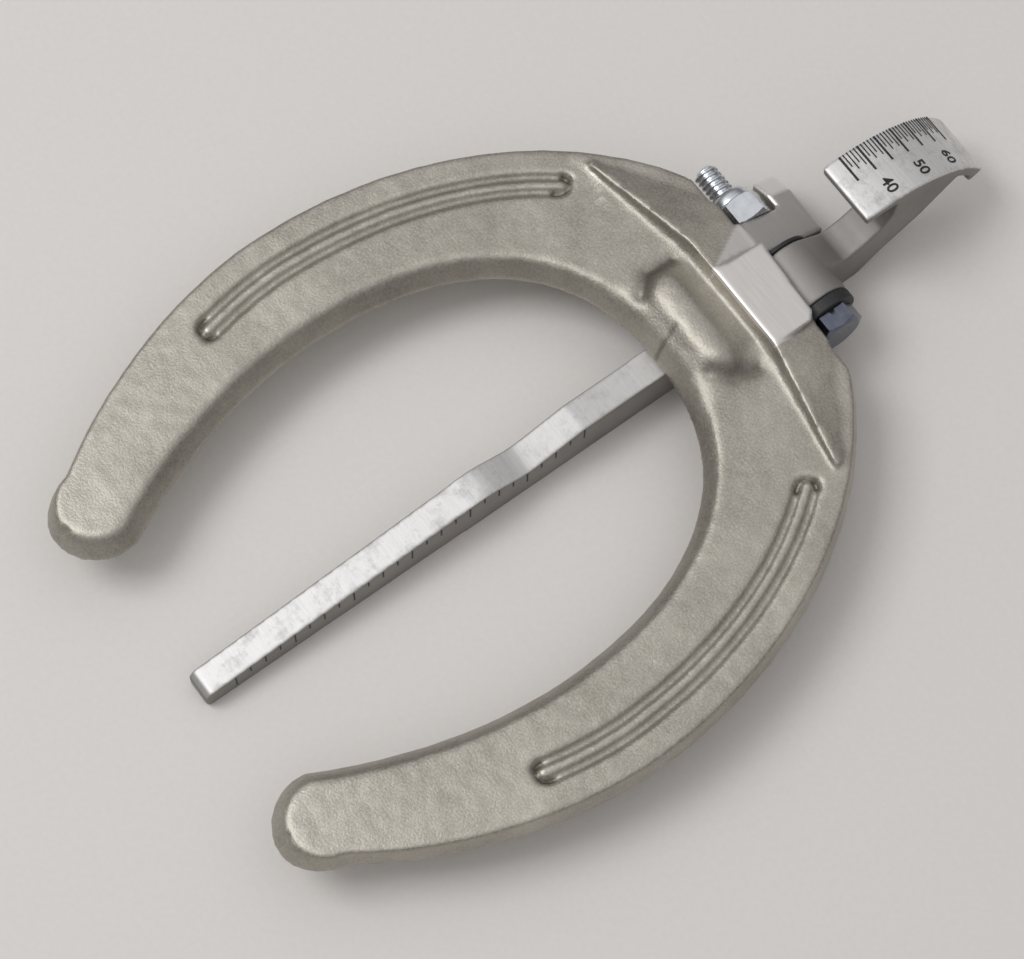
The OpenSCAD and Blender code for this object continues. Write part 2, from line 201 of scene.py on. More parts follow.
armTone = {
    "metallic": 0.8,
    "skin": (0.26, 0.245, 0.23), "skinLight": (0.37, 0.35, 0.335), "ground": (0.74, 0.725, 0.72),
    # The darkest colour takes real smudges and painted shade
    "bright": (0.92, 0.91, 0.9), "worn": (0.86, 0.85, 0.83), "dirtAndShade": (0.12, 0.11, 0.1),
    "lines": (0.45, 3, 0.6), "lineRun": (0.05, 1, 1), "speck": (0.35, 3, 0.7), "haze": (14, 3, 0.6),
    "smudge": (3.4, 5, 0.75),
    "lineContrast": (1.2, -0.1), "speckContrast": (3, -1.6), "hazeContrast": (1.4, -0.2),
    "smudgeContrast": (4, -1.95),
    "speckShare": 0.5, "wornLeast": 0.4, "wornShare": 0.7, "dirtAndShadeShare": 0.55, "smudgeShare": 0.4,
    "rough": 0.56, "speckRough": 0.14, "smudgeRough": 0.1, "polishSmooth": 0.1,
    "lineRelief": 0.2, "speckRelief": 0.55, "speckPolished": 0.2, "depth": 0.1, "strength": 0.7,
}


def armPaint():
    t = armTone
    p = Paint("groundAlloy", Metallic=t["metallic"])
    wearAndHighlight, dirtAndShade, polishAndSheen = p.mask("wearAndHighlight"), p.mask("dirtAndShade"), p.mask("polishAndSheen")
    lines = p.cloud(*t["lines"], p.stretched(*t["lineRun"]))
    speck = p.cloud(*t["speck"])
    haze = p.cloud(*t["haze"])
    smudge = p.cloud(*t["smudge"]).contrast(*t["smudgeContrast"]) * polishAndSheen
    tone = p.blend(haze.contrast(*t["hazeContrast"]), t["skin"], t["skinLight"])
    bright = p.blend(lines.contrast(*t["lineContrast"]), t["ground"], t["bright"])
    bright = p.blend(speck.contrast(*t["speckContrast"]) * t["speckShare"], bright, t["worn"])
    # Ground top and rim bright, sides dark skin: partly real finish, partly painted sheen and shade
    tone = p.blend(polishAndSheen, tone, bright)
    tone = p.blend((wearAndHighlight * (t["wornLeast"] + speck)).held() * t["wornShare"], tone, t["worn"])
    # Painted shade in corners and at the bar's step, with real smudges on the ground faces
    grimeAndShade = (dirtAndShade * t["dirtAndShadeShare"] + smudge * t["smudgeShare"]).held()
    p.feed("Base Color", p.blend(grimeAndShade, tone, t["dirtAndShade"]))
    rough = t["rough"] + speck * t["speckRough"] + smudge * t["smudgeRough"]
    p.feed("Roughness", rough - polishAndSheen * t["polishSmooth"])
    speckRelief = speck * (t["speckRelief"] - polishAndSheen * t["speckPolished"])
    p.relief(lines * polishAndSheen * t["lineRelief"] + speckRelief, t["depth"], t["strength"])
    return p.material


# Zinc plating. The bolt's head takes a darker blue copy of it than its shank and nut: a painted dark
# reflection
zincTone = {
    "plate": [(0.56, 0.6, 0.66), (0.86, 0.88, 0.9)], "head": [(0.09, 0.1, 0.14), (0.22, 0.235, 0.285)],
    "haze": (1.6, 3, 0.6), "grain": (0.5, 3, 0.55), "rough": 0.2, "hazeRough": 0.2,
    "depth": 0.03, "strength": 0.5,
}


def zincPaint(name, shades):
    t = zincTone
    p = Paint(name, Metallic=1.0)
    haze = p.cloud(*t["haze"])
    p.feed("Base Color", p.blend(haze, *shades))
    p.feed("Roughness", t["rough"] + haze * t["hazeRough"])
    p.relief(p.cloud(*t["grain"]), t["depth"], t["strength"])
    return p.material


washerTone = {
    "grain": (0.5, 3, 0.55), "dark": (0.012, 0.012, 0.014), "light": (0.035, 0.034, 0.036),
    "rough": 0.42, "grainRough": 0.25, "depth": 0.05,
}
nylonTone = {
    "grain": (0.8, 3, 0.55), "dark": (0.62, 0.62, 0.58), "light": (0.78, 0.78, 0.74),
    "rough": 0.4, "grainRough": 0.15, "depth": 0.03,
}


def grainPaint(name, t):
    p = Paint(name)
    grain = p.cloud(*t["grain"])
    p.feed("Base Color", p.blend(grain, t["dark"], t["light"]))
    p.feed("Roughness", t["rough"] + grain * t["grainRough"])
    p.relief(grain, t["depth"])
    return p.material


inkTone = {
    "grain": (0.25, 3, 0.7), "contrast": (2, -0.9), "dark": (0.012, 0.012, 0.016),
    "light": (0.08, 0.078, 0.08), "rough": 0.5, "grainRough": 0.2,
}


def inkPaint():
    t = inkTone
    p = Paint("engravedInk")
    grain = p.cloud(*t["grain"])
    p.feed("Base Color", p.blend(grain.contrast(*t["contrast"]), t["dark"], t["light"]))
    p.feed("Roughness", t["rough"] + grain * t["grainRough"])
    return p.material


floorTone = {
    "speckle": (1.1, 2, 0.5), "dark": (0.71, 0.68, 0.655), "light": (0.76, 0.73, 0.705), "rough": 0.85,
}


def floorPaint():
    t = floorTone
    p = Paint("paleFloor", Roughness=t["rough"])
    p.feed("Base Color", p.blend(p.cloud(*t["speckle"]), t["dark"], t["light"]))
    return p.material


paints = {
    "casting": castingPaint(),
    "arm": armPaint(),
    "zinc": zincPaint("zincPlate", zincTone["plate"]),
    # The head's darker zinc is a painted dark reflection
    "head": zincPaint("zincHeadShaded", zincTone["head"]),
    "washer": grainPaint("blackWasher", washerTone),
    "nylon": grainPaint("paleNylon", nylonTone),
    "ink": inkPaint(),
    "floor": floorPaint(),
}
print("finishes made:", len(paints))


# Mesh helpers

def addObject(name, mesh, paint=None):
    piece = bpy.data.objects.new(name, mesh)
    bpy.context.scene.collection.objects.link(piece)
    if paint:
        mesh.materials.clear()
        mesh.materials.append(paint)
    return piece


# Turns what the modifiers make into the piece's own mesh and takes the modifiers off
def plainMesh(piece):
    seen = piece.evaluated_get(bpy.context.evaluated_depsgraph_get())
    mesh = bpy.data.meshes.new_from_object(seen)
    piece.modifiers.clear()
    piece.data = mesh


def smoothShade(mesh, sharp=None):
    for face in mesh.polygons:
        face.use_smooth = True
    if sharp:
        mesh.set_sharp_from_angle(angle=math.radians(sharp))


# A closed, even skin over a CAD node's solid, for a shape to be softened and worn
def skinned(node, name, voxel):
    mesh = bpy.data.meshes.new(name)
    work = bmesh.new()
    work.from_mesh(frame["nodes"][node].data)
    bmesh.ops.remove_doubles(work, verts=work.verts, dist=weldGap)
    work.to_mesh(mesh)
    work.free()
    piece = addObject(name, mesh)
    remesh = piece.modifiers.new("skin", "REMESH")
    remesh.mode = "VOXEL"
    remesh.voxel_size = voxel * mm
    plainMesh(piece)
    return piece


# The points of a skin as arrays, in millimetres from the hinge axis

class Skin:
    def __init__(self, piece):
        self.mesh = piece.data
        self.count = len(self.mesh.vertices)
        spots = np.zeros(self.count * 3)
        self.mesh.vertices.foreach_get("co", spots)
        self.spots = (spots.reshape(-1, 3) - np.array(hinge)) / mm
        edges = np.zeros(len(self.mesh.edges) * 2, int)
        self.mesh.edges.foreach_get("vertices", edges)
        self.edges = edges.reshape(-1, 2)
        self.links = np.maximum(1, np.bincount(edges, minlength=self.count))

    # Each point's mean over its neighbours
    def around(self, values):
        a, b = self.edges.T
        total = np.bincount(a, values[b], self.count) + np.bincount(b, values[a], self.count)
        return total / self.links

    def even(self, values, rounds, share=0.5):
        for _ in range(rounds):
            values = values + (self.around(values) - values) * share
        return values

    # Each round moves a point half way to its neighbours' mean where share is one, and less elsewhere
    def soften(self, rounds, share):
        for _ in range(rounds):
            mean = np.stack([self.around(self.spots[:, k]) for k in range(3)], 1)
            self.spots += (mean - self.spots) * (0.5 * share)[:, None]

    def store(self):
        self.mesh.vertices.foreach_set("co", (self.spots * mm + np.array(hinge)).ravel())
        self.mesh.update()

    def normals(self):
        self.store()
        found = np.zeros(self.count * 3)
        self.mesh.vertex_normals.foreach_get("vector", found)
        return found.reshape(-1, 3)

    def push(self, amount):
        self.spots += self.normals() * amount[:, None]

    # How far each point stands out of its surroundings: above nought on an edge, below in a corner
    def bend(self, rounds):
        facing = self.normals()
        mean = np.stack([self.even(self.spots[:, k], rounds) for k in range(3)], 1)
        return ((self.spots - mean) * facing).sum(1)

    # Smooth random numbers over the shape, another pattern for each seed
    def lumps(self, size, seed):
        shift = Vector((seed, seed * 1.7, seed * 2.3))
        return np.array([noise.noise(Vector(s) / size + shift) for s in self.spots])

    def keep(self, name, values):
        layer = self.mesh.attributes.new(name, "FLOAT", "POINT")
        layer.data.foreach_set("value", np.clip(values, 0, 1).astype(np.float32))


# Rises smoothly from nought at low to one at high
def ramp(values, low, high):
    t = np.clip((values - low) / (high - low), 0, 1)
    return t * t * (3 - 2 * t)


# The plate casting: the cutter has cleaned its pad, its lug and a corner of the ramp. Left and right are
# along the bolt, heel and toe along the tool. A pair is where a ramp starts and where it is full.
plate = {
    "voxel": 0.455, "soften": 2, "softEdge": 0.45,
    "roughness": 0.07, "lump": 2.6, "lumpSeed": 3.1, "swell": 0.1, "swellSize": 13, "swellSeed": 7.7,
    "padLeft": -5.6, "padRight": 12.55, "padHeel": -13.5, "padTop": 7.55,
    "lugRight": -3.1, "lugHeel": -3.0, "lugHeight": 4.1, "lugFall": 0.5,
    "lugBelow": 3, "lugAbove": 0.4, "lugFacing": 0.4, "litWingEdge": -13.4,
    "corner": [(-5.3, -13.5), (-10.9, -3.6), (-5.0, -2.6)], "cornerFloor": 4.5,
    "blockLeft": -18, "blockRight": 12.9, "blockHeel": -13.5, "blockFloor": -6.5, "blockShare": 0.12,
    "top": (2.5, 4), "seatSoft": 1.5,
    "webHalf": 11.5, "webHeel": -28, "webToe": -25.4, "webSoft": 3, "webRise": 0.5,
    "humpHalf": 13, "humpHeel": -31, "humpToe": -16.4, "humpSoft": 4, "humpRounds": 55,
    "crest": [(-10.2, -19.2), (-2.4, -18.5), (7.0, -18.0)], "crestHalf": 2.3, "crestRise": 1.0,
    # Creases at the hump's two ends and the thin flow mark below it: points, half width, depth, darkness
    # (painted shade in the crease)
    "marks": [
        ([(-12.4, -17.6), (-12.7, -22.6), (-9.9, -26.2)], 1.5, 0.7, 0.6),
        ([(9.2, -25.2), (12.2, -22.2), (13.2, -17.6)], 1.7, 0.8, 0.6),
        ([(-1.3, -25.2), (0.4, -31.4)], 0.4, 0.12, 0.8),
    ],
    # Where the groove turns round the rib's two ends on the right branch: middle, and heading in degrees
    "turnEnds": [(36.61, -24.94, 153), (50.67, -92.5, -86.5)],
    # The turns' darkness is painted shade in the groove where it turns
    "turnRadius": 1.9, "turnHalf": 0.55, "turnDepth": 0.75, "turnShade": 0.35,
    # A painted highlight at the end of the left ramp's ridge, broken into specks
    "ridgeGlint": [(-38.6, -20.0), (-37.2, -19.2), (-35.2, -18.8), (-32.7, -19.4), (-29.7, -20.7)],
    "ridgeGlintHalf": 0.9, "ridgeGlintLump": 1.6, "ridgeGlintSeed": 5.5, "ridgeGlintBroken": (-0.6, -0.1), "ridgeGlintFloor": 4,
    # Bright edges, partly wear and partly painted highlight, and painted shade in the corners and hollows
    "edgeRounds": 6, "edge": (0.04, 0.3), "edgeSpread": 3, "edgeFacing": (-0.2, 0.5),
    "edgeOffMilled": 0.45, "edgeOffHump": 0.5, "fillet": (0.05, 0.26), "filletShade": 0.8,
    "hollowRounds": 40, "hollow": (0.15, 0.7), "hollowShade": 0.5,
}


# One between low and high, falling to nought over soft millimetres outside them
def within(values, low, high, soft):
    return ramp(values, low - soft, low) * ramp(-values, -high - soft, -high)


def insideTriangle(x, y, corners, soft):
    inside = np.ones(len(x))
    for (ax, ay), (bx, by) in zip(corners, corners[1:] + corners[:1]):
        outside = ((bx - ax) * (y - ay) - (by - ay) * (x - ax)) / math.hypot(bx - ax, by - ay)
        inside *= ramp(-outside, -soft, 0)
    return inside


# One on a line through the points, falling to nought at about twice the width
def nearLine(x, y, points, width):
    best = np.full(len(x), np.inf)
    for (ax, ay), (bx, by) in zip(points, points[1:]):
        run = (bx - ax) ** 2 + (by - ay) ** 2
        t = np.clip(((x - ax) * (bx - ax) + (y - ay) * (by - ay)) / run, 0, 1)
        best = np.minimum(best, np.hypot(x - ax - t * (bx - ax), y - ay - t * (by - ay)))
    return np.exp(-(best / width) ** 2)


# Half a circle round each end of both ribs, in the form of the other marks
def grooveTurns():
    r = plate["turnRadius"]
    turns = []
    for x, y, heading in plate["turnEnds"]:
        angles = np.radians(heading + np.arange(-90, 91, 30))
        for side in (-1, 1):  # the left branch, then the right
            arc = [(side * (x + r * math.cos(a)), y + r * math.sin(a)) for a in angles]
            turns.append((arc, plate["turnHalf"], plate["turnDepth"], plate["turnShade"]))
    return turns


# How far each point lies on a face that the cutter has cleaned, and whether it lies on the lug's slope
def milledFaces(x, y, z, up):
    soft = plate["softEdge"]
    pad = within(x, plate["padLeft"], plate["padRight"], soft) * within(y, plate["padHeel"], 0, soft)
    pad = pad * ramp(z, plate["padTop"] - soft, plate["padTop"])
    slope = plate["lugHeight"] - plate["lugFall"] * y
    lug = (x < plate["lugRight"]) & (y > plate["lugHeel"]) & (up > plate["lugFacing"])
    lug = lug & (z > slope - plate["lugBelow"]) & (z < slope + plate["lugAbove"])
    corner = insideTriangle(x, y, plate["corner"], soft) * (z > plate["cornerFloor"])
    return np.maximum(np.maximum(pad, corner), lug), lug


def makePlate():
    piece = skinned("base_casting", "plateCasting", plate["voxel"])
    skin = Skin(piece)
    x, y, z = skin.spots.T
    up = skin.normals()[:, 2]
    milled, lug = milledFaces(x, y, z, up)
    block = (x > plate["blockLeft"]) & (x < plate["blockRight"])
    block = block & (y > plate["blockHeel"]) & (z > plate["blockFloor"])
    skin.soften(plate["soften"], np.where(block, plate["blockShare"], 1.0))

    top = ramp(z, *plate["top"])
    web = within(x, -plate["webHalf"], plate["webHalf"], plate["webSoft"])
    web = web * within(y, plate["webHeel"], plate["webToe"], plate["seatSoft"]) * top
    skin.spots[:, 2] += web * plate["webRise"]
    hump = within(x, -plate["humpHalf"], plate["humpHalf"], plate["humpSoft"])
    hump = hump * within(y, plate["humpHeel"], plate["humpToe"], plate["seatSoft"])
    skin.soften(plate["humpRounds"], hump * top)
    skin.spots[:, 2] += nearLine(x, y, plate["crest"], plate["crestHalf"]) * top * plate["crestRise"]
    marks = np.zeros(skin.count)
    # Each mark is cut in and darkened; the darkness is painted shade
    for points, width, depth, shade in plate["marks"] + grooveTurns():
        near = nearLine(x, y, points, width) * (z > 0)
        skin.spots[:, 2] -= near * depth
        marks = np.maximum(marks, near * shade)
    cast = 1 - skin.even(milled, 1)
    fine = plate["roughness"] * skin.lumps(plate["lump"], plate["lumpSeed"])
    wide = plate["swell"] * skin.lumps(plate["swellSize"], plate["swellSeed"])
    skin.push(cast * (fine + wide))

    edge = skin.bend(plate["edgeRounds"])
    # Painted highlight at the ridge's end, broken into specks
    broken = ramp(skin.lumps(plate["ridgeGlintLump"], plate["ridgeGlintSeed"]), *plate["ridgeGlintBroken"])
    ridgeGlint = nearLine(x, y, plate["ridgeGlint"], plate["ridgeGlintHalf"]) * broken * (z > plate["ridgeGlintFloor"])
    # Upward-facing edges brightened: partly wear, partly painted highlight
    rubbedAndLit = skin.even(ramp(edge, *plate["edge"]), plate["edgeSpread"]) * ramp(up, *plate["edgeFacing"])
    rubbedAndLit = rubbedAndLit * (1 - milled * plate["edgeOffMilled"]) * (1 - hump * plate["edgeOffHump"])
    # The lug's left wing is painted bright, a painted reflection
    skin.keep("wearAndHighlight", rubbedAndLit + ridgeGlint + lug * (x < plate["litWingEdge"]))
    # Painted shade: darker in fillets, hollows and the marks
    hollow = ramp(-skin.bend(plate["hollowRounds"]), *plate["hollow"])
    fillets = ramp(-edge, *plate["fillet"]) * plate["filletShade"]
    skin.keep("dirtAndShade", fillets + hollow * plate["hollowShade"] * (1 - milled) + marks)
    skin.keep("milled", milled)
    skin.store()
    smoothShade(piece.data)
    piece.data.materials.append(paints["casting"])
    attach(piece, "plate")
    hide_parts("base_casting")
    print("plate casting:", skin.count, "points")


# The arm: its bar's top and its scale's face are ground bright, its sides keep their skin. The bright faces
# are picked by how far they face up, so they also paint sheen on top and shade on the sides. The bar's step
# lies between its toe half and its free end.
arm = {
    "voxel": 0.28, "soften": 9, "wave": 0.03, "waveSize": 9, "waveSeed": 2.2, "waveOffRim": 0.7,
    "barHeel": -7.6, "topFacing": (0.6, 0.85), "toeHalf": 0.58, "freeEnd": 0.8, "freeFrom": (60, 69),
    "stepToe": (59, 62), "stepHeel": (-70.5, -68.5), "stepShade": 0.15, "upFacingSheen": 0.08,
    "rimAhead": 16.5, "rimBelow": 16.4, "rimRadius": 30.6, "rimSkin": 0.3, "rimHeel": 10,
    "edgeRounds": 5, "edge": (0.05, 0.2), "edgeSpread": 2, "edgeWear": 0.8, "corner": (0.03, 0.25),
}


def makeArm():
    piece = skinned("gauge_arm", "gaugeArm", arm["voxel"])
    skin = Skin(piece)
    x, y, z = skin.spots.T
    level = ramp(skin.normals()[:, 2], *arm["topFacing"])
    onBar = (y < arm["barHeel"]) * level
    reach = np.hypot(y - arm["rimAhead"], z + arm["rimBelow"])
    onRim = (np.abs(reach - arm["rimRadius"]) < arm["rimSkin"]) & (y > arm["rimHeel"])
    freeHalf = ramp(-y, *arm["freeFrom"])
    slope = ramp(-y, *arm["stepToe"]) * ramp(y, *arm["stepHeel"])
    # Ground faces, brighter toward the free end; picked by facing up, so partly painted sheen
    polishAndSheen = onBar * (arm["toeHalf"] + (arm["freeEnd"] - arm["toeHalf"]) * freeHalf) + onRim
    # Upward-facing skin elsewhere gets a little painted sheen
    polishAndSheen += arm["upFacingSheen"] * (y > arm["barHeel"]) * (1 - onRim) * level
    skin.soften(arm["soften"], np.ones(skin.count))
    wave = skin.lumps(arm["waveSize"], arm["waveSeed"])
    skin.push(arm["wave"] * wave * (1 - onRim * arm["waveOffRim"]))
    edge = skin.bend(arm["edgeRounds"])
    skin.keep("wearAndHighlight", skin.even(ramp(edge, *arm["edge"]), arm["edgeSpread"]) * arm["edgeWear"])
    # Painted shade in the corners and on the bar's step
    skin.keep("dirtAndShade", ramp(-edge, *arm["corner"]) + slope * onBar * arm["stepShade"])
    skin.keep("polishAndSheen", skin.even(polishAndSheen, 1))
    skin.store()
    smoothShade(piece.data)
    piece.data.materials.append(paints["arm"])
    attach(piece, "arm")
    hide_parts("gauge_arm")
    print("arm:", skin.count, "points")
    return piece


# Turned and hexagonal pieces round the hinge axis
turning = {"sides": 96, "sharp": 28, "chamferSteps": 8}


# Turns an outline of (x, radius) points about the hinge axis. With flats, no point reaches past a
# hexagon of that width, which cuts the chamfer's arcs where a cone meets the sides.
def turned(name, outline, paint, closed=True, flats=None):
    sides = turning["sides"]
    work = bmesh.new()
    rings = []
    for x, radius in outline:
        if radius <= 0:
            rings.append([work.verts.new(place(x, 0, 0))] * sides)
            continue
        ring = []
        for i in range(sides):
            turn = 2 * math.pi * i / sides
            side = (turn + math.pi / 6) % (math.pi / 3) - math.pi / 6
            r = min(radius, flats / 2 / math.cos(side)) if flats else radius
            ring.append(work.verts.new(place(x, r * math.sin(turn), r * math.cos(turn))))
        rings.append(ring)
    pairs = list(zip(rings, rings[1:])) + ([(rings[-1], rings[0])] if closed else [])
    for first, second in pairs:
        for i in range(sides):
            j = (i + 1) % sides
            corners = []
            for v in (first[i], first[j], second[j], second[i]):
                if v not in corners:
                    corners.append(v)
            work.faces.new(corners)
    bmesh.ops.recalc_face_normals(work, faces=work.faces)
    mesh = bpy.data.meshes.new(name)
    work.to_mesh(mesh)
    work.free()
    smoothShade(mesh, turning["sharp"])
    return addObject(name, mesh, paint)


# Both ends of a node along the bolt, and its radius, from its box
def ends(node):
    low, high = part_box(node)
    return (low.x - hinge.x) / mm, (high.x - hinge.x) / mm, (high.y - low.y) / 2 / mm


# A hexagon's chamfer, in steps fine enough to show each side's arc
def chamfer(start, end, wide, narrow):
    n = turning["chamferSteps"]
    return [(start + (end - start) * i / n, wide + (narrow - wide) * i / n) for i in range(n + 1)]


hexagon = {"flats": 9.5, "past": 0.05}  # past: how far a chamfer's wide end reaches over the corners
bolt = {
    "radius": 2.415, "headHeight": 3.9, "threadLength": 15, "threadDepth": 0.42, "runOut": 0.5,
    "tip": 0.5, "tipDrop": 0.45, "headChamfer": 0.75, "headInset": 0.5, "seatRise": 0.2, "seatInset": 0.1,
}


def makeBolt():
    left, right, _ = ends("pivot_bolt")
    half = hexagon["flats"] / 2
    corner = half / math.cos(math.pi / 6)
    seat = right - bolt["headHeight"]
    threadEnd = left + bolt["threadLength"]
    core = bolt["radius"] - bolt["threadDepth"]
    outline = [(left, 0), (left, core - bolt["tipDrop"]), (left + bolt["tip"], core), (threadEnd, core),
               (threadEnd + bolt["runOut"], bolt["radius"]), (seat, bolt["radius"]), (seat, 0)]
    shank = turned("boltShank", outline, paints["zinc"], closed=False)
    head = [(seat, 0), (seat, half - bolt["seatInset"]), (seat + bolt["seatRise"], corner)]
    head += chamfer(right - bolt["headChamfer"], right, corner + hexagon["past"], half - bolt["headInset"])
    # The head's darker zinc is a painted dark reflection
    cap = turned("boltHead", head + [(right, 0)], paints["head"], closed=False, flats=hexagon["flats"])
    for piece in (shank, cap):
        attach(piece, "plate")
    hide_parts("pivot_bolt")
    return left, threadEnd


# Each point of the collar is so far in from the nut's left end and so far in from the flats
nut = {
    "bore": 2.475, "boreChamfer": 0.3, "hexHeight": 5.0, "faceChamfer": 0.4, "faceInset": 0.1,
    "backFrom": 0.5, "backTo": 0.1, "backInset": 0.3, "neck": 0.2, "neckInset": 0.5,
    "collar": [(0.9, 0.6), (0.35, 0.85)], "insertRadius": 3.31, "insertFit": 0.03,
    "lip": 0.35, "lipDrop": 0.05,
}


def makeNut():
    left, right, _ = ends("lock_nut")
    half = hexagon["flats"] / 2
    wide = half / math.cos(math.pi / 6) + hexagon["past"]
    hexEnd = right - nut["hexHeight"]
    insert = nut["insertRadius"] + nut["insertFit"]
    outline = [(right, nut["bore"] + nut["boreChamfer"])]
    outline += chamfer(right, right - nut["faceChamfer"], half - nut["faceInset"], wide)
    outline += chamfer(hexEnd + nut["backFrom"], hexEnd - nut["backTo"], wide, half - nut["backInset"])
    outline += [(hexEnd - nut["neck"], half - nut["neckInset"])]
    outline += [(left + along, half - inset) for along, inset in nut["collar"]]
    outline += [(left, nut["insertRadius"] + nut["lip"]), (left + nut["lipDrop"], insert), (hexEnd, insert),
                (hexEnd, nut["bore"]), (right - nut["boreChamfer"], nut["bore"])]
    piece = turned("lockNut", outline, paints["zinc"], flats=hexagon["flats"])
    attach(piece, "plate")
    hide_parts("lock_nut")


washer = {"bore": 2.475, "round": 0.3, "roundShare": 0.35, "arc": (0, 30, 60, 90)}


def makeRing(name, node, paint):
    left, right, radius = ends(node)
    bore = washer["bore"]
    r = min(washer["round"], (right - left) * washer["roundShare"])
    quarter = [(math.cos(a) * r, math.sin(a) * r) for a in np.radians(washer["arc"])]
    outline = [(left, bore)] + [(left + r - c, radius - r + s) for c, s in quarter]
    outline += [(right - r + c, radius - r + s) for c, s in reversed(quarter)] + [(right, bore)]
    ring = turned(name, outline, paint)
    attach(ring, "plate")
    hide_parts(node)


# Geometry Nodes for the thread, the scale's lines and the bar's lines

def newTree(name, inputs):
    tree = bpy.data.node_groups.new(name, "GeometryNodeTree")
    tree.interface.new_socket("Geometry", in_out="INPUT", socket_type="NodeSocketGeometry")
    tree.interface.new_socket("Geometry", in_out="OUTPUT", socket_type="NodeSocketGeometry")
    for label, kind in inputs.items():
        tree.interface.new_socket(label, in_out="INPUT", socket_type="NodeSocket" + kind)
    return tree


# Adds a node, sets it, and links or fills its sockets
def join(tree, kind, settings, inputs):
    made = tree.nodes.new(kind)
    for key, value in settings.items():
        setattr(made, key, value)
    for key, value in inputs.items():
        if isinstance(value, bpy.types.NodeSocket):
            tree.links.new(value, made.inputs[key])
        else:
            made.inputs[key].default_value = value
    return made


def closeTree(tree, shape, paintSocket):
    real = join(tree, "GeometryNodeRealizeInstances", {}, {0: shape})
    done = join(tree, "GeometryNodeSetMaterial", {}, {0: real.outputs[0], "Material": paintSocket})
    join(tree, "NodeGroupOutput", {}, {0: done.outputs[0]})


# Runs a tree on a piece with the given inputs and keeps the plain mesh that it makes
def grow(piece, tree, values):
    step = piece.modifiers.new(tree.name, "NODES")
    step.node_group = tree
    names = {s.name: s.identifier for s in tree.interface.items_tree if s.in_out == "INPUT"}
    for label, value in values.items():
        step[names[label]] = value
    plainMesh(piece)


thread = {"pitch": 1.06, "ridgeShare": 0.72, "start": 0.55, "short": 0.9, "turnSteps": 36, "ridgeSides": 6}


def threadTree():
    tree = newTree("rolledThread", {
        "Turns": "Float", "Radius": "Float", "Length": "Float", "Ridge": "Float", "Start": "Vector",
        "Paint": "Material"})
    into = tree.nodes.new("NodeGroupInput").outputs
    path = join(tree, "GeometryNodeCurveSpiral", {}, {
        "Resolution": thread["turnSteps"], "Rotations": into["Turns"], "Start Radius": into["Radius"],
        "End Radius": into["Radius"], "Height": into["Length"]})
    section = join(tree, "GeometryNodeCurvePrimitiveCircle", {}, {
        "Resolution": thread["ridgeSides"], "Radius": into["Ridge"]})
    ridge = join(tree, "GeometryNodeCurveToMesh", {}, {
        "Curve": path.outputs[0], "Profile Curve": section.outputs[0], "Fill Caps": True})
    laid = join(tree, "GeometryNodeTransform", {}, {
        0: ridge.outputs[0], "Translation": into["Start"], "Rotation": (0, math.pi / 2, 0)})
    shaded = join(tree, "GeometryNodeSetShadeSmooth", {}, {0: laid.outputs[0]})
    closeTree(tree, shaded.outputs[0], into["Paint"])
    return tree


def makeThread(left, right):
    ridge = bolt["threadDepth"] * thread["ridgeShare"]
    run = right - left - thread["short"]
    piece = addObject("boltThread", bpy.data.meshes.new("boltThread"))
    grow(piece, threadTree(), {
        "Turns": run / thread["pitch"], "Radius": (bolt["radius"] - ridge) * mm, "Length": run * mm,
        "Ridge": ridge * mm, "Start": place(left + thread["start"], 0, 0), "Paint": paints["zinc"]})
    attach(piece, "plate")


def lineTree():
    tree = newTree("rulingLines", {"Line width": "Float", "Line height": "Float", "Paint": "Material"})
    into = tree.nodes.new("NodeGroupInput").outputs
    size = join(tree, "ShaderNodeCombineXYZ", {}, {0: 1.0, 1: into["Line width"], 2: into["Line height"]})
    block = join(tree, "GeometryNodeMeshCube", {}, {"Size": size.outputs[0]})
    vector = {"data_type": "FLOAT_VECTOR"}
    stretch = join(tree, "GeometryNodeInputNamedAttribute", vector, {"Name": "lineStretch"})
    turn = join(tree, "GeometryNodeInputNamedAttribute", vector, {"Name": "lineTurn"})
    aimed = join(tree, "FunctionNodeEulerToRotation", {}, {0: turn.outputs["Attribute"]})
    lines = join(tree, "GeometryNodeInstanceOnPoints", {}, {
        "Points": into["Geometry"], "Instance": block.outputs["Mesh"], "Rotation": aimed.outputs[0],
        "Scale": stretch.outputs["Attribute"]})
    closeTree(tree, lines.outputs[0], into["Paint"])
    return tree


# Each row holds a line's middle, its length, how bold it is, and its turn
def makeLines(name, rows, width, height, tree):
    mesh = bpy.data.meshes.new(name)
    mesh.from_pydata([place(*row[0]) for row in rows], [], [])
    stretches = [(row[1] * mm, row[2], 1) for row in rows]
    turns = [row[3] for row in rows]
    for label, values in (("lineStretch", stretches), ("lineTurn", turns)):
        layer = mesh.attributes.new(label, "FLOAT_VECTOR", "POINT")
        layer.data.foreach_set("vector", np.array(values, np.float32).ravel())
    piece = addObject(name, mesh)
    grow(piece, tree, {"Line width": width * mm, "Line height": height * mm, "Paint": paints["ink"]})
    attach(piece, "arm")


# The scale's lines: every fifth is long and bold, and the second and fourth after it are middling
scale = {
    "first": 35, "last": 65, "firstAngle": 90.2, "perDegree": 1.54, "leftEdge": -7.9,
    "every": 5, "middling": (2, 4), "long": 5.7, "middle": 3.9, "short": 2.9,
    "width": 0.24, "bold": 1.9, "height": 0.1,
    "labels": (40, 50, 60), "labelX": 1.6, "labelSize": 3.3, "labelDepth": 0.06, "labelBold": 0.05,
    "labelSteps": 6, "labelWeld": 1e-7,
}


def onRim(x, degrees, over):
    q = math.radians(degrees)
    r = arm["rimRadius"] + over
    return (x, arm["rimAhead"] + r * math.cos(q), -arm["rimBelow"] + r * math.sin(q))


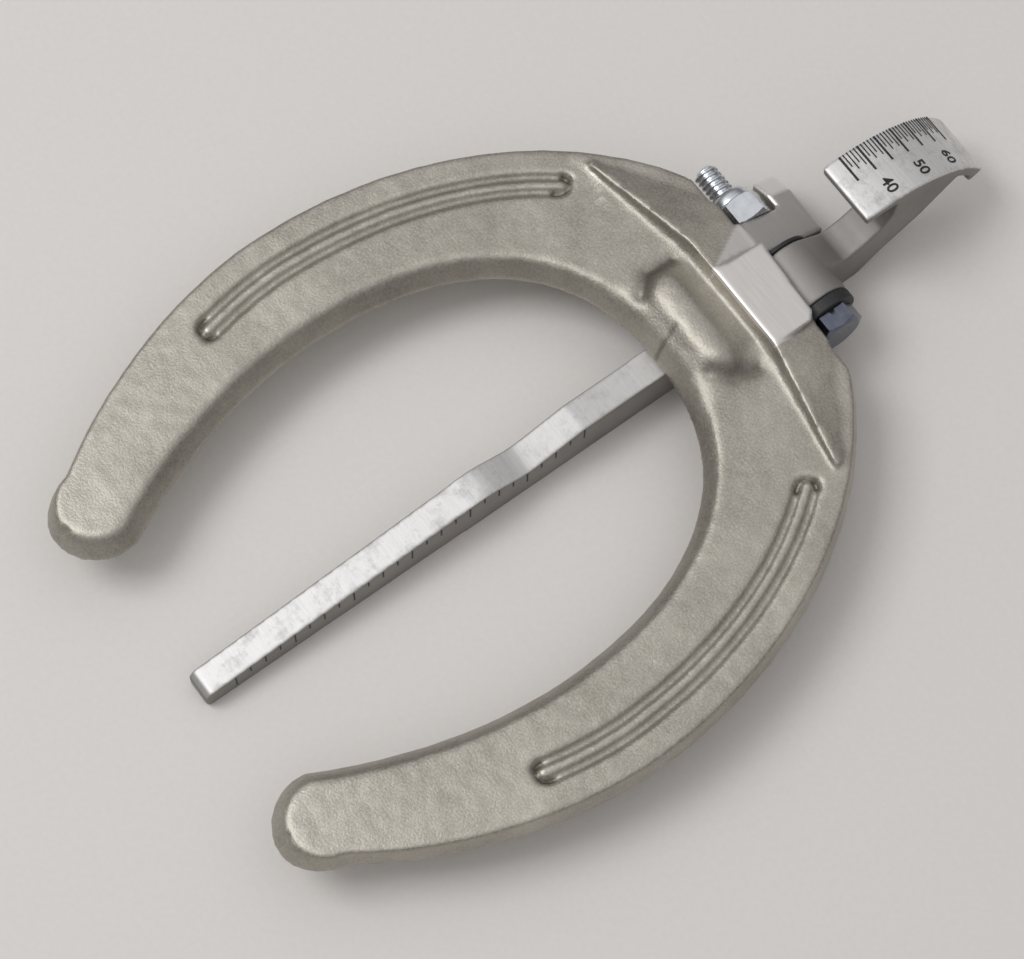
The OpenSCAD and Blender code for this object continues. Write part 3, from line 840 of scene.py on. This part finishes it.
def rimAngle(mark):
    return scale["firstAngle"] - scale["perDegree"] * (mark - scale["first"])


def makeScaleLines(tree):
    rows = []
    for mark in range(scale["first"], scale["last"] + 1):
        after = mark % scale["every"]
        length = scale["middle"] if after in scale["middling"] else scale["short"]
        bold = 1
        if after == 0:
            length = scale["long"]
            bold = scale["bold"]
        angle = rimAngle(mark)
        middle = onRim(scale["leftEdge"] + length / 2, angle, 0)
        rows.append((middle, length, bold, (math.radians(angle - 90), 0, 0)))
    makeLines("scaleLines", rows, scale["width"], scale["height"], tree)


def makeLabels():
    work = bmesh.new()
    for value in scale["labels"]:
        text = bpy.data.curves.new("label", "FONT")
        text.body = str(value)
        text.size = scale["labelSize"]
        text.align_x = "CENTER"
        text.align_y = "CENTER"
        text.extrude = scale["labelDepth"]
        text.offset = scale["labelBold"]
        text.resolution_u = scale["labelSteps"]
        holder = bpy.data.objects.new("label", text)
        bpy.context.scene.collection.objects.link(holder)
        mesh = bpy.data.meshes.new_from_object(holder.evaluated_get(bpy.context.evaluated_depsgraph_get()))
        middle = rimAngle(value)
        for v in mesh.vertices:  # the label lies round the rim, its top towards the far end
            angle = middle - math.degrees(v.co.y / arm["rimRadius"])
            v.co = place(*onRim(scale["labelX"] + v.co.x, angle, v.co.z))
        work.from_mesh(mesh)
        bpy.data.objects.remove(holder)
    bmesh.ops.remove_doubles(work, verts=work.verts, dist=scale["labelWeld"])
    bmesh.ops.recalc_face_normals(work, faces=work.faces)
    mesh = bpy.data.meshes.new("scaleNumbers")
    work.to_mesh(mesh)
    work.free()
    piece = addObject("scaleNumbers", mesh, paints["ink"])
    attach(piece, "arm")


# The bar's lines, an eighth of an inch apart. Both rays start rayFrom off the hinge axis, outside the bar.
rule = {
    "first": -48.4, "step": 3.175, "count": 25, "lengths": (3.6, 1.7, 2.5, 1.7), "width": 0.3,
    "height": 0.12, "below": 0.25, "rayFrom": 10, "rayX": 2,
}


# The bar's lines hang from its top edge on the right side, where a ray finds both faces
def makeRuleLines(tree, armPiece):
    shape = BVHTree.FromObject(armPiece, bpy.context.evaluated_depsgraph_get())
    rows = []
    for i in range(rule["count"]):
        y = rule["first"] - rule["step"] * i
        top = shape.ray_cast(place(rule["rayX"], y, rule["rayFrom"]), Vector((0, 0, -1)))[0]
        length = rule["lengths"][i % len(rule["lengths"])]
        z = (top.z - hinge.z) / mm - rule["below"] - length / 2
        side = shape.ray_cast(place(rule["rayFrom"], y, z), Vector((-1, 0, 0)))[0]
        rows.append((((side.x - hinge.x) / mm, y, z), length, 1, (0, math.pi / 2, 0)))
    makeLines("barLines", rows, rule["width"], rule["height"], tree)


makePlate()
armPiece = makeArm()
left, threadEnd = makeBolt()
makeNut()
makeRing("headWasher", "head_washer", paints["washer"])
makeRing("hubWasher", "hub_washer", paints["washer"])
makeRing("nutInsert", "nylon_insert", paints["nylon"])
makeThread(left, threadEnd)
print("bolt, nut and washers made")
lines = lineTree()
makeScaleLines(lines)
makeLabels()
makeRuleLines(lines, armPiece)
print("scale and bar marked")


# Floor, light and camera: in metres and radians, but the floor's drop and the camera's place and lens
# are in millimetres. The sky is bright overhead and dim near the horizon, so that a tilted metal face
# turns dark: each stop is a height and a level.
studio = {
    "floorSize": 3.0, "floorDrop": 0.04,
    "sky": 0.8, "skyStops": [(0.0, 0.13), (0.4, 0.3), (0.72, 0.8), (1.0, 1.0)],
    "lampPower": 4.2, "lampSize": 0.5, "lampFrom": (-0.55, 0.35, 0.85),
}
view = {
    "fromHinge": (147.6, -182.01, 501.78), "azimuth": 0.88824, "tilt": 0.35156, "roll": 0.05034,
    "lens": 105.73, "film": 36, "shiftY": 0.01025, "near": 0.01, "far": 10,
}


def makeFloor():
    half = studio["floorSize"] / 2
    level = -studio["floorDrop"] * mm
    corners = [(-half, -half, level), (half, -half, level), (half, half, level), (-half, half, level)]
    mesh = bpy.data.meshes.new("floor")
    mesh.from_pydata(corners, [], [(0, 1, 2, 3)])
    addObject("floor", mesh, paints["floor"])


def makeSky():
    world = bpy.data.worlds.new("studio")
    bpy.context.scene.world = world
    world.use_nodes = True
    tree = world.node_tree
    coord = tree.nodes.new("ShaderNodeTexCoord")
    split = tree.nodes.new("ShaderNodeSeparateXYZ")
    stops = tree.nodes.new("ShaderNodeValToRGB")
    tree.links.new(coord.outputs["Generated"], split.inputs[0])
    tree.links.new(split.outputs[2], stops.inputs[0])
    ladder = stops.color_ramp.elements
    while len(ladder) < len(studio["skyStops"]):
        ladder.new(0.5)
    for stop, (height, level) in zip(ladder, studio["skyStops"]):
        stop.position = height
        stop.color = (level, level, level, 1)
    tree.nodes["Background"].inputs[1].default_value = studio["sky"]
    tree.links.new(stops.outputs[0], tree.nodes["Background"].inputs[0])


def makeCamera():
    turn, tilt, roll = view["azimuth"], view["tilt"], view["roll"]
    right = Vector((math.cos(turn), math.sin(turn), 0))
    ahead = Vector((-math.sin(turn), math.cos(turn), 0))
    down = Vector((0, 0, -1))
    look = down * math.cos(tilt) + ahead * math.sin(tilt)
    up = ahead * math.cos(tilt) - down * math.sin(tilt)
    across = right * math.cos(roll) + up * math.sin(roll)
    over = up * math.cos(roll) - right * math.sin(roll)
    camera = bpy.data.objects.new("camera", bpy.data.cameras.new("camera"))
    bpy.context.scene.collection.objects.link(camera)
    aim = Matrix((across, over, -look)).transposed().to_4x4()
    camera.matrix_world = Matrix.Translation(place(*view["fromHinge"])) @ aim
    camera.data.lens = view["lens"]
    camera.data.sensor_width = view["film"]
    camera.data.shift_y = view["shiftY"]
    camera.data.clip_start = view["near"]
    camera.data.clip_end = view["far"]
    bpy.context.scene.camera = camera
    return across, over, look


def makeLamp(across, over, look):
    side, rise, back = studio["lampFrom"]
    middle = (cadLow + cadHigh) / 2
    lamp = bpy.data.objects.new("lamp", bpy.data.lights.new("lamp", "AREA"))
    bpy.context.scene.collection.objects.link(lamp)
    lamp.location = middle + across * side + over * rise - look * back
    lamp.rotation_euler = (lamp.location - middle).to_track_quat("Z", "Y").to_euler()
    lamp.data.energy = studio["lampPower"]
    lamp.data.size = studio["lampSize"]


makeFloor()
makeSky()
makeLamp(*makeCamera())
bpy.context.scene.view_settings.view_transform = "Standard"
print("floor, light and camera set")
